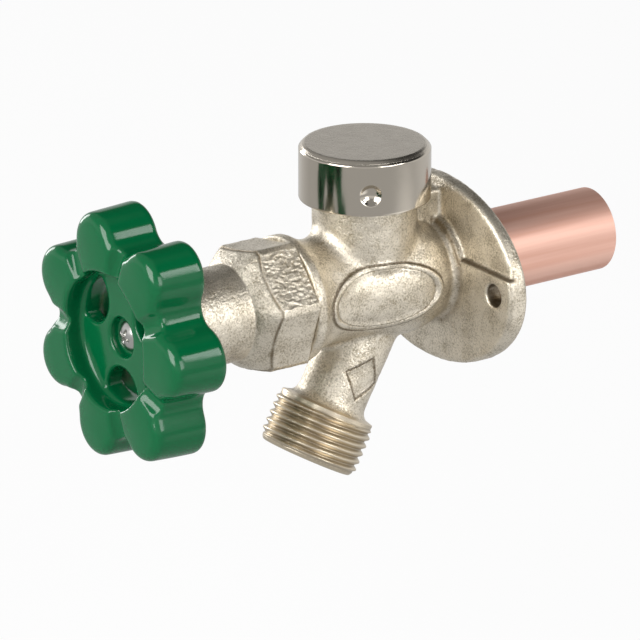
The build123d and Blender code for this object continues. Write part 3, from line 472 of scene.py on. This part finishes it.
def makeHeadCasting():
    # The solid with its spout's end drawn in under the thread, grain raised on the cast faces,
    # a groove in the oval and painted shade along the plate's step.
    piece = castCopy("headCasting", "head_casting", casting["voxel"], casting["smoothing"])
    points = readPoints(piece)
    along = (points - spoutFrom) @ spoutDown
    across = points - spoutFrom - along[:, None] * spoutDown
    radius = np.linalg.norm(across, axis=1)
    onThread = (along > casting["threadStart"]) & (radius < casting["threadReach"])
    # Under the thread the wall draws in to its root, and the mouth opens a little, so that the
    # turned piece covers both.
    outerPart = onThread & (radius > casting["threadSplit"])
    newRadius = np.where(outerPart, np.minimum(radius, casting["threadRoot"] - 0.3 * mm), radius)
    mouthPart = onThread & ~outerPart & (along > casting["spoutEnd"] - casting["mouthDepth"])
    openMouth = np.maximum(newRadius, casting["mouth"] + 0.4 * mm)
    newRadius = np.where(mouthPart, openMouth, newRadius)
    newAlong = np.where(onThread, np.minimum(along, casting["spoutEnd"] - 0.4 * mm), along)
    scale = newRadius / np.maximum(radius, 1e-6)
    points = spoutFrom + newAlong[:, None] * spoutDown + across * scale[:, None]
    writePoints(piece, points)
    # Grain: two sizes of lattice noise along the normal, none on turned faces.
    normals = readNormals(piece)
    wave = latticeNoise(points, casting["waveCell"], 3)
    grain = latticeNoise(points, casting["grainCell"], 7)
    grain += 0.6 * latticeNoise(points, casting["grainCell"] * 0.55, 11)
    turned = onThread | (radius < casting["throat"]) & (along > 10 * mm)
    inBore = points[:, 0] ** 2 + points[:, 2] ** 2 < casting["bore"] ** 2
    inBore = inBore & (points[:, 1] > casting["boreEnd"])
    onBack = points[:, 1] > casting["backFrom"]
    amount = np.where(turned | inBore | onBack, 0.0, 1.0)
    lift = amount * (casting["waveHeight"] * wave + casting["grainHeight"] * grain)
    # A shallow groove runs inside the oval's edge: a bell curve of the scaled distance from it.
    oval = np.hypot((points[:, 1] - casting["ovalCentre"]) / casting["ovalLength"],
                    points[:, 2] / casting["ovalHeight"])
    groove = np.exp(-((oval - casting["ovalGroove"]) / casting["ovalGrooveHalf"]) ** 2)
    lift -= casting["ovalGrooveDepth"] * groove * (points[:, 0] > casting["ovalSide"])
    writePoints(piece, points + normals * lift[:, None])
    # Painted shade lies along the plate's step and round the barrel's root, more of it higher up: a
    # bell curve of the distance.
    rootRadius = np.hypot(points[:, 0], points[:, 2])
    onPlate = points[:, 1] < casting["plateBack"]
    onPlate = onPlate & (points[:, 1] > casting["plateFront"] - 1.6 * mm)
    atStep = np.exp(-((points[:, 2] - casting["stepHeight"]) / casting["stepHalf"]) ** 2)
    atRoot = np.exp(-((rootRadius - casting["root"]) / casting["rootHalf"]) ** 2)
    above = 0.45 + 0.4 * smoothStep(points[:, 2], 0.0, casting["stepHeight"])
    atStep = casting["stepShade"] * atStep * (rootRadius > casting["root"])
    amount = onPlate * np.maximum(atStep, above * atRoot)
    markPaintedShade(piece, np.clip(amount, 0, 1))
    finishPiece(piece, castNickel, "tap_body", "head_casting")


makeHeadCasting()
print("head casting made")


thread = {
    "pitch": 2.209 * mm, "crest": 13.45 * mm, "root": 12.45 * mm, "start": 38.0 * mm,
    "land": 12.7 * mm, "fade": 1.0 * mm, "end": 51.3 * mm, "mouth": 8.92 * mm,
    "mouthDepth": 9 * mm, "paintedShade": 0.45, "shadeFrom": 12.3 * mm, "turns": 288, "rows": 150,
}


def makeHoseThread():
    # A right-hand helix: the radius goes from root to crest as a rounded V of the phase
    # distance/pitch - turn, and dies away at both ends. Then the end face and the mouth's wall.
    turn = np.linspace(0, 2 * math.pi, thread["turns"], endpoint=False)
    runOut = thread["end"] - 0.9 * mm
    along = np.linspace(thread["start"] - 0.9 * mm, runOut, thread["rows"])
    s, t = np.meshgrid(along, turn, indexing="ij")
    phase = (s / thread["pitch"] - t / (2 * math.pi)) % 1.0
    ridge = np.clip(1.25 * (1 - np.abs(2 * phase - 1)) - 0.08, 0, 1)
    ridge = ridge * ridge * (3 - 2 * ridge) * 0.4 + ridge * 0.6
    fadeIn = smoothStep(s, thread["start"] + 0.2 * mm, thread["start"] + thread["fade"])
    fadeOut = 1 - smoothStep(s, runOut - thread["fade"], runOut - 0.1 * mm)
    base = thread["land"] + (thread["root"] - thread["land"]) * fadeIn * fadeOut
    radius = base + (thread["crest"] - base) * ridge * fadeIn * fadeOut
    tail = [(runOut + 0.35 * mm, 12.55 * mm), (thread["end"] - 0.1 * mm, 12.2 * mm),
            (thread["end"], 12.0 * mm), (thread["end"], 10.5 * mm), (thread["end"], 9.3 * mm),
            (thread["end"] - 0.3 * mm, thread["mouth"]),
            (thread["end"] - thread["mouthDepth"], thread["mouth"]),
            (thread["end"] - thread["mouthDepth"], 6.2 * mm)]
    head = [(thread["start"] - 1.4 * mm, 11.0 * mm)]
    s = np.concatenate([np.full((1, s.shape[1]), a) for a, _ in head] + [s]
                       + [np.full((1, s.shape[1]), a) for a, _ in tail])
    radius = np.concatenate([np.full((1, s.shape[1]), r) for _, r in head] + [radius]
                            + [np.full((1, s.shape[1]), r) for _, r in tail])
    t = np.broadcast_to(turn, s.shape)
    points = (spoutFrom + s[..., None] * spoutDown
              + (radius * np.cos(t))[..., None] * spoutSide
              + (radius * np.sin(t))[..., None] * spoutBack)
    piece = gridMesh("hoseThread", points)
    cleanMesh(piece, math.radians(40))
    # Painted shade grows with the depth below the crest.
    points = readPoints(piece) - spoutFrom
    along = points @ spoutDown
    radius = np.linalg.norm(points - along[:, None] * spoutDown, axis=1)
    depth = smoothStep(thread["crest"] - radius, 0.15 * mm, 0.9 * mm)
    onRidges = (radius > thread["shadeFrom"]) & (along > thread["start"]) & (along < runOut)
    markPaintedShade(piece, thread["paintedShade"] * depth * onRidges)
    finishPiece(piece, turnedNickel, "tap_body")


makeHoseThread()
print("hose thread made")


bonnet = {
    "voxel": 0.32, "smoothing": 1, "flat": 15.875 * mm, "hexTurn": math.radians(11),
    "hexBack": -52.6 * mm, "hexFront": -63.3 * mm, "scallop": 1.2 * mm,
    "shoulderFront": -68.9 * mm, "neck": 12.7 * mm, "corner": 17.85 * mm, "crease": 0.16 * mm,
    "stippleFlat": math.radians(41), "stippleLength": 0.95 * mm, "stippleHeight": 0.6 * mm,
    "stippleLift": 0.14 * mm, "waveCell": 3 * mm, "waveHeight": 0.03 * mm,
    "grainCell": 0.8 * mm, "grainHeight": 0.05 * mm, "turnedFrom": -90 * mm,
    "stippleHalf": 7.6 * mm, "stippleFade": 1 * mm,
}


def makeBonnet():
    # The solid with eased corners, a crease where the shoulder meets each flat, coarse stipple on
    # the upper flat and fine grain on the rest.
    piece = castCopy("bonnet", "bonnet_nut", bonnet["voxel"], bonnet["smoothing"])
    points = readPoints(piece)
    radius = np.hypot(points[:, 0], points[:, 2])
    turn = np.arctan2(points[:, 2], points[:, 0])
    flatTurns = bonnet["hexTurn"] + math.radians(30) + np.arange(6) * math.radians(60)
    # The hexagon's radius is the flat's distance over the cosine of the angle from it, and its
    # front edge bulges a little at each flat's middle. The shoulder falls from there to the neck.
    reachFlat = np.cos(turn[:, None] - flatTurns).max(axis=1)
    hexRadius = np.minimum(bonnet["flat"] / reachFlat, bonnet["corner"])
    bulge = (bonnet["corner"] - hexRadius) / (bonnet["corner"] - bonnet["flat"])
    front = bonnet["hexFront"] - bonnet["scallop"] * bulge
    down = np.clip((points[:, 1] - front) / (bonnet["shoulderFront"] - front), 0, 1)
    wanted = bonnet["neck"] + (hexRadius - bonnet["neck"]) * (1 - down) ** 0.8
    outside = (radius > bonnet["neck"] - 0.4 * mm) & (points[:, 1] < bonnet["hexBack"])
    onHex = outside & (points[:, 1] > bonnet["shoulderFront"])
    points[:, [0, 2]] *= np.where(onHex, wanted / radius, 1.0)[:, None]
    writePoints(piece, points)
    normals = readNormals(piece)
    outside = outside & (points[:, 1] > bonnet["turnedFrom"])
    wave = latticeNoise(points, bonnet["waveCell"], 21)
    grain = latticeNoise(points, bonnet["grainCell"], 22)
    grain += 0.6 * latticeNoise(points, bonnet["grainCell"] * 0.55, 23)
    lift = outside * (bonnet["waveHeight"] * wave + bonnet["grainHeight"] * grain)
    past = front - points[:, 1]
    crease = onHex * smoothStep(past, -0.1 * mm, 0.3 * mm)
    crease = crease * (1 - smoothStep(past, 0.4 * mm, 1.0 * mm))
    lift -= bonnet["crease"] * crease
    # Stipple: noise stretched into rows along the tap, on one flat only.
    across = points[:, 2] * math.cos(bonnet["stippleFlat"])
    across = across - points[:, 0] * math.sin(bonnet["stippleFlat"])
    rows = np.stack([points[:, 1] / bonnet["stippleLength"], across / bonnet["stippleHeight"],
                     0 * across], axis=-1)
    bumps = latticeNoise(rows, 1.0, 24) + 0.5 * latticeNoise(rows, 0.5, 25)
    facing = np.cos(turn - bonnet["stippleFlat"])
    stippled = onHex * (facing > 0.8) * smoothStep(-past, 0.2 * mm, 0.7 * mm)
    stippleEnd = bonnet["stippleHalf"] + bonnet["stippleFade"]
    stippled = stippled * (1 - smoothStep(np.abs(across), bonnet["stippleHalf"], stippleEnd))
    lift += stippled * bonnet["stippleLift"] * np.clip(bumps, -0.9, 0.5)
    writePoints(piece, points + normals * lift[:, None])
    # Painted shade along the crease, less where the stipple's bumps rise.
    paintedShade = crease * (0.75 + 0.3 * wave) - 0.3 * stippled * bumps
    markPaintedShade(piece, np.clip(paintedShade, 0, 0.8))
    finishPiece(piece, castNickel, "tap_body", "bonnet_nut")


makeBonnet()
print("bonnet made")


handle = {
    "voxel": 0.45, "smoothing": 10, "waveCell": 7 * mm, "waveHeight": 0.05 * mm,
    "lobes": 7, "phase": math.radians(0.4), "ring": 25.0 * mm, "lobe": 8.7 * mm,
    "front": -107.35 * mm, "crown": 0.9 * mm, "crownDepth": 5.0 * mm, "dish": 13.0 * mm,
}


def makeHandle():
    # The solid with crowned lobes: each front face falls away from its lobe's middle line by the
    # square of the distance, and the fall dies out with depth.
    piece = castCopy("handleWheel", "handle", handle["voxel"], handle["smoothing"])
    points = readPoints(piece)
    radius = np.hypot(points[:, 0], points[:, 2])
    lobeStep = 2 * math.pi / handle["lobes"]
    turn = np.arctan2(points[:, 2], points[:, 0]) - handle["phase"]
    away = (turn + lobeStep / 2) % lobeStep - lobeStep / 2
    outward = np.maximum(radius * np.cos(away) - handle["ring"], 0)
    reach = np.hypot(outward, radius * np.sin(away)) / handle["lobe"]
    nearFront = np.clip(1 - (points[:, 1] - handle["front"]) / handle["crownDepth"], 0, 1)
    onLobes = smoothStep(radius, handle["dish"] - 2 * mm, handle["dish"] + 2 * mm)
    points[:, 1] += handle["crown"] * np.minimum(reach, 1.1) ** 2 * nearFront * onLobes
    writePoints(piece, points)
    normals = readNormals(piece)
    wave = latticeNoise(points, handle["waveCell"], 31)
    writePoints(piece, points + normals * (handle["waveHeight"] * wave)[:, None])
    finishPiece(piece, greenEnamel, "spindle", "handle")


makeHandle()
print("handle made")

screw = {"head": 3.9 * mm, "seat": 98.6 * mm, "rim": 0.9 * mm, "rise": 1.35 * mm,
         "shank": 2.0 * mm, "end": 88.2 * mm, "armLength": 2.1 * mm, "armWidth": 0.42 * mm,
         "armDepth": 1.3 * mm, "turned": math.radians(20)}


def makeHandleScrew():
    # The head is a spherical cap over a short rim. Two crossed slots, tapered to the middle,
    # are taken from its height. The shank is a plain turned wall.
    turn = np.linspace(0, 2 * math.pi, 144, endpoint=False)
    dome = (screw["head"] ** 2 + screw["rise"] ** 2) / (2 * screw["rise"])
    steps = np.linspace(0, 1, 60)
    radius, t = np.meshgrid(steps * screw["head"], turn, indexing="ij")
    height = screw["rim"] + screw["rise"] - dome + np.sqrt(dome ** 2 - radius ** 2)
    x = radius * np.cos(t + screw["turned"])
    z = radius * np.sin(t + screw["turned"])
    for a, b in ((x, z), (z, x)):
        arm = 1 - smoothStep(np.abs(b), screw["armWidth"] * 0.7, screw["armWidth"] * 1.2)
        reach = 1 - smoothStep(np.abs(a), screw["armLength"] * 0.85, screw["armLength"] * 1.1)
        depth = screw["armDepth"] * (1 - 0.55 * np.abs(a) / screw["armLength"])
        floor = screw["rim"] + screw["rise"] - depth
        height = np.minimum(height, height + (floor - height) * arm * reach)
    rim = [(screw["head"], screw["rim"] * 0.4), (screw["head"] - 0.15 * mm, 0.0),
           (screw["shank"], 0.0), (screw["shank"], screw["end"] - screw["seat"]),
           (0.0, screw["end"] - screw["seat"])]
    radius = np.concatenate([radius] + [np.full((1, len(turn)), r) for r, _ in rim])
    height = np.concatenate([height] + [np.full((1, len(turn)), h) for _, h in rim])
    t = np.broadcast_to(turn, radius.shape)
    points = np.stack([radius * np.cos(t), -(screw["seat"] + height), radius * np.sin(t)], axis=-1)
    piece = gridMesh("handleScrew", points)
    cleanMesh(piece, math.radians(45))
    finishPiece(piece, stainlessSteel, "spindle", "handle_screw")


makeHandleScrew()
print("handle screw made")


cap = {"reach": 26.125 * mm, "radius": 17.2 * mm, "wall": 0.9 * mm, "low": 23.4 * mm,
       "bevel": 36.8 * mm, "top": 38.1 * mm, "topRadius": 15.9 * mm, "dimpleHeight": 29.1 * mm,
       "dimpleBall": 3.4 * mm, "dimpleDepth": 1.6 * mm, "dimpleTurn": math.radians(-30),
       "dimples": 3, "dimpleRim": 0.12 * mm, "corner": 0.5 * mm, "turns": 480}


def makeVentCap():
    # A profile turned about the cap's axis. Each wall point moves in by the depth of the
    # nearest dimple: a ball's height over the chord, softened at its rim.
    corner = cap["corner"]
    topRows = [(r, cap["top"]) for r in np.linspace(0, cap["topRadius"] - corner, 14)]
    bend = [(cap["topRadius"] - corner + corner * math.sin(a),
             cap["top"] - corner * 0.4 * (1 - math.cos(a))) for a in np.linspace(0.2, 1.3, 5)]
    slope = [(cap["topRadius"] + (cap["radius"] - cap["topRadius"]) * k,
              cap["top"] + (cap["bevel"] - cap["top"]) * k) for k in np.linspace(0.12, 0.92, 5)]
    wallRows = [(cap["radius"], h)
                for h in np.linspace(cap["bevel"] - 0.1 * mm, cap["low"] + 0.3 * mm, 46)]
    edge = [(cap["radius"] - 0.08 * mm, cap["low"] + 0.08 * mm),
            (cap["radius"] - 0.3 * mm, cap["low"]),
            (cap["radius"] - cap["wall"] + 0.1 * mm, cap["low"])]
    innerRadius = cap["radius"] - cap["wall"]
    innerWall = [(innerRadius, h)
                 for h in np.linspace(cap["low"] + 0.1 * mm, cap["bevel"] - 0.4 * mm, 44)]
    innerTop = [(r, cap["top"] - cap["wall"]) for r in (cap["topRadius"] - 0.3 * mm, 8 * mm, 0.0)]
    profile = np.array(topRows + bend + slope + wallRows + edge + innerWall + innerTop)
    turn = np.linspace(0, 2 * math.pi, cap["turns"], endpoint=False)
    radius = np.broadcast_to(profile[:, :1], (len(profile), len(turn))).copy()
    height = np.broadcast_to(profile[:, 1:], radius.shape)
    t = np.broadcast_to(turn, radius.shape)
    onWall = (profile[:, :1] > innerRadius - 0.01 * mm) & (profile[:, 1:] < cap["bevel"])
    isInner = profile[:, :1] < innerRadius + 0.05 * mm
    for k in range(cap["dimples"]):
        middle = cap["dimpleTurn"] + k * 2 * math.pi / cap["dimples"]
        away = (t - middle + math.pi) % (2 * math.pi) - math.pi
        distance = np.hypot(away * cap["radius"], height - cap["dimpleHeight"])
        ball = cap["dimpleBall"] + np.where(isInner, cap["wall"], 0.0)
        sink = np.sqrt(np.maximum(ball ** 2 - distance ** 2, 0))
        sink = sink - (cap["dimpleBall"] - cap["dimpleDepth"]) - np.where(isInner, cap["wall"], 0.0)
        sink = 0.5 * (sink + np.sqrt(sink ** 2 + cap["dimpleRim"] ** 2)) - cap["dimpleRim"] * 0.35
        radius -= np.where(onWall, np.clip(sink, 0, None), 0.0)
    points = np.stack([radius * np.cos(t), -cap["reach"] + radius * np.sin(t), height], axis=-1)
    piece = gridMesh("ventCap", points)
    cleanMesh(piece, math.radians(50))
    finishPiece(piece, chromePlate, "tap_body", "vent_cap")


makeVentCap()
print("cap made")


tube = {"radius": 11.11 * mm, "wall": 1.14 * mm, "front": -14.0 * mm, "back": 48.0 * mm,
        "ease": 0.15 * mm, "turns": 192}


def makeCasingTube():
    # A ring section turned about the tube's axis, with its cut end's edges eased.
    ease = tube["ease"]
    inner = tube["radius"] - tube["wall"]
    outerWall = [(tube["radius"], y)
                 for y in np.linspace(tube["front"], tube["back"] - ease, 24)]
    cutEnd = [(tube["radius"] - ease, tube["back"]), (inner + ease, tube["back"]),
              (inner, tube["back"] - ease)]
    innerWall = [(inner, y) for y in np.linspace(tube["back"] - 2 * ease, tube["front"], 20)]
    profile = np.array(outerWall + cutEnd + innerWall + [(tube["radius"], tube["front"])])
    turn = np.linspace(0, 2 * math.pi, tube["turns"], endpoint=False)
    radius = profile[:, :1] + 0 * turn
    reach = profile[:, 1:] + 0 * turn
    points = np.stack([radius * np.cos(turn), reach, radius * np.sin(turn)], axis=-1)
    piece = gridMesh("casingTube", points)
    cleanMesh(piece, math.radians(30))
    finishPiece(piece, drawnCopper, "tap_body", "casing_tube")


makeCasingTube()
print("tube made")


studio = {
    "azimuth": math.radians(55.21), "elevation": math.radians(19.62), "distance": 1.5,
    "target": (0.0, -0.04345, 0.0), "lens": 326.5, "shift": (0.01619, -0.04117), "floor": -0.12,
    "sky": [(0.0, 0.6), (0.5, 0.8), (0.67, 0.72), (0.71, 0.22), (0.75, 0.04), (0.925, 0.04),
            (0.965, 0.2), (1.0, 0.35)],
    "frontSky": 0.36,
    "leftGlow": 0.68, "rightGlow": 0.5, "nearGlow": 1.2, "nearSpot": (0.22, 0.16, 0.0),
    "floorHalf": 3.0, "floorWhite": 0.93, "glowSlant": -1.2, "glowEdge": (-0.45, -0.05),
    "nearSize": (0.08, 0.3),
    "lamps": [
        ("rearBox", (0.72, 0.4, 0.49), 0.22, 0.36, 1.6),
        ("sideBox", (1.0, 0.05, 0.35), 0.5, 0.5, 3.5),
        ("keyBox", (0.15, -1.0, 0.45), 0.7, 0.7, 10.5),
        ("leftStrip", (-1.0, -0.2, 0.1), 0.25, 0.6, 3.0),
    ],
}


def makeStudio():
    # The camera stands in the direction of two angles, at a distance from its target.
    scene = bpy.context.scene
    scene.view_settings.view_transform = "Standard"
    a, e = studio["azimuth"], studio["elevation"]
    back = Vector((math.sin(a) * math.cos(e), -math.cos(a) * math.cos(e), math.sin(e)))
    lens = bpy.data.cameras.new("studioCamera")
    lens.lens = studio["lens"]
    lens.sensor_width = 36.0
    lens.clip_start = 0.01
    lens.clip_end = 50.0
    lens.shift_x, lens.shift_y = studio["shift"]
    camera = bpy.data.objects.new("studioCamera", lens)
    scene.collection.objects.link(camera)
    camera.location = Vector(studio["target"]) + back * studio["distance"]
    camera.rotation_euler = (-back).to_track_quat("-Z", "Y").to_euler()
    scene.camera = camera
    # World: white to the camera and through clear pieces. What it lights, and gloss, see grey
    # levels that go by height, with a dark band high up behind the tap.
    world = bpy.data.worlds.new("studioWorld")
    scene.world = world
    world.use_nodes = True
    tree = world.node_tree
    tree.nodes.clear()
    place = addNode(tree, "ShaderNodeTexCoord", (-900, 0))
    parts = addNode(tree, "ShaderNodeSeparateXYZ", (-700, 0), None, {
        "Vector": place.outputs["Generated"]})
    level = addNode(tree, "ShaderNodeMapRange", (-500, -200), None, {
        "Value": parts.outputs["Z"], "From Min": -1.0, "From Max": 1.0})
    ramp = addNode(tree, "ShaderNodeValToRGB", (-300, -200), None, {"Fac": level.outputs["Result"]})
    fillRamp(ramp, studio["sky"])
    behind = addNode(tree, "ShaderNodeMapRange", (-500, -450), None, {
        "Value": parts.outputs["Y"], "From Min": 0.1, "From Max": 0.35,
        "To Min": studio["frontSky"], "To Max": 0.0})
    skyLevel = addNode(tree, "ShaderNodeMath", (-150, -300), {"operation": "MAXIMUM"}, {
        0: ramp.outputs["Color"], 1: behind.outputs["Result"]})
    lit = addNode(tree, "ShaderNodeBackground", (0, -100), None, {
        "Color": (1, 1, 1, 1), "Strength": skyLevel.outputs[0]})
    plain = addNode(tree, "ShaderNodeBackground", (0, -250), None, {
        "Color": (1, 1, 1, 1), "Strength": 1.0})
    path = addNode(tree, "ShaderNodeLightPath", (0, 300))
    straight = addNode(tree, "ShaderNodeMath", (100, 200), {"operation": "MAXIMUM"}, {
        0: path.outputs["Is Camera Ray"], 1: path.outputs["Is Transmission Ray"]})
    mixed = addNode(tree, "ShaderNodeMixShader", (200, 0), None, {
        0: straight.outputs[0], 1: lit.outputs[0], 2: plain.outputs[0]})
    addNode(tree, "ShaderNodeOutputWorld", (400, 0), None, {"Surface": mixed.outputs[0]})
    # Floor: pale, almost white to the camera, so that it keeps only a soft shadow. Gloss sees it
    # brighter on the left and round one spot behind on the right, and darker elsewhere.
    size = studio["floorHalf"]
    mesh = bpy.data.meshes.new("studioFloor")
    mesh.from_pydata([(-size, -size, 0), (size, -size, 0), (size, size, 0), (-size, size, 0)], [],
                     [(0, 1, 2, 3)])
    floor = bpy.data.objects.new("studioFloor", mesh)
    scene.collection.objects.link(floor)
    floor.location = (0, 0, studio["floor"])
    material, tree = newMaterial("palePaper")
    glow = addNode(tree, "ShaderNodeEmission", (-200, 100), None, {
        "Color": (1, 1, 1, 1), "Strength": 1.0})
    matt = addNode(tree, "ShaderNodeBsdfDiffuse", (-200, -100), None, {"Color": (0.8, 0.8, 0.8, 1)})
    path = addNode(tree, "ShaderNodeLightPath", (-600, 400))
    straight = addNode(tree, "ShaderNodeMath", (-500, 300), {"operation": "MAXIMUM"}, {
        0: path.outputs["Is Camera Ray"], 1: path.outputs["Is Transmission Ray"]})
    share = addNode(tree, "ShaderNodeMath", (-350, 300), {"operation": "MULTIPLY"}, {
        0: straight.outputs[0], 1: studio["floorWhite"]})
    place = addNode(tree, "ShaderNodeTexCoord", (-900, -300))
    parts = addNode(tree, "ShaderNodeSeparateXYZ", (-700, -300), None, {
        "Vector": place.outputs["Object"]})
    leftness = addNode(tree, "ShaderNodeMath", (-600, -300), {"operation": "MULTIPLY_ADD"}, {
        0: parts.outputs["Y"], 1: studio["glowSlant"], 2: parts.outputs["X"]})
    side = addNode(tree, "ShaderNodeMapRange", (-400, -300), None, {
        "Value": leftness.outputs[0], "From Min": studio["glowEdge"][0],
        "From Max": studio["glowEdge"][1], "To Min": studio["leftGlow"],
        "To Max": studio["rightGlow"]})
    fromSpot = addNode(tree, "ShaderNodeVectorMath", (-850, -500), {"operation": "SUBTRACT"}, {
        0: place.outputs["Object"], 1: studio["nearSpot"]})
    distance = addNode(tree, "ShaderNodeVectorMath", (-700, -500), {"operation": "LENGTH"}, {
        0: fromSpot.outputs["Vector"]})
    near = addNode(tree, "ShaderNodeMapRange", (-400, -500), None, {
        "Value": distance.outputs["Value"], "From Min": studio["nearSize"][0],
        "From Max": studio["nearSize"][1], "To Min": studio["nearGlow"], "To Max": 0.0})
    glossLevel = addNode(tree, "ShaderNodeMath", (-300, -400), {"operation": "MAXIMUM"}, {
        0: side.outputs["Result"], 1: near.outputs["Result"]})
    sheen = addNode(tree, "ShaderNodeEmission", (-200, -300), None, {
        "Color": (1, 1, 1, 1), "Strength": glossLevel.outputs[0]})
    seen = addNode(tree, "ShaderNodeMixShader", (0, -100), None, {
        0: path.outputs["Is Glossy Ray"], 1: matt.outputs[0], 2: sheen.outputs[0]})
    both = addNode(tree, "ShaderNodeMixShader", (200, 0), None, {
        0: share.outputs[0], 1: seen.outputs[0], 2: glow.outputs[0]})
    addNode(tree, "ShaderNodeOutputMaterial", (400, 0), None, {"Surface": both.outputs[0]})
    mesh.materials.append(material)
    # Lamps: a box behind on the right for the streaks, one at the side, a key and a left strip.
    for name, spot, width, length, power in studio["lamps"]:
        light = bpy.data.lights.new(name, "AREA")
        light.shape = "RECTANGLE"
        light.size, light.size_y = width, length
        light.energy = power
        lamp = bpy.data.objects.new(name, light)
        scene.collection.objects.link(lamp)
        lamp.location = spot
        toward = Vector(studio["target"]) - Vector(spot)
        lamp.rotation_euler = toward.to_track_quat("-Z", "Y").to_euler()


makeStudio()
print("studio made")
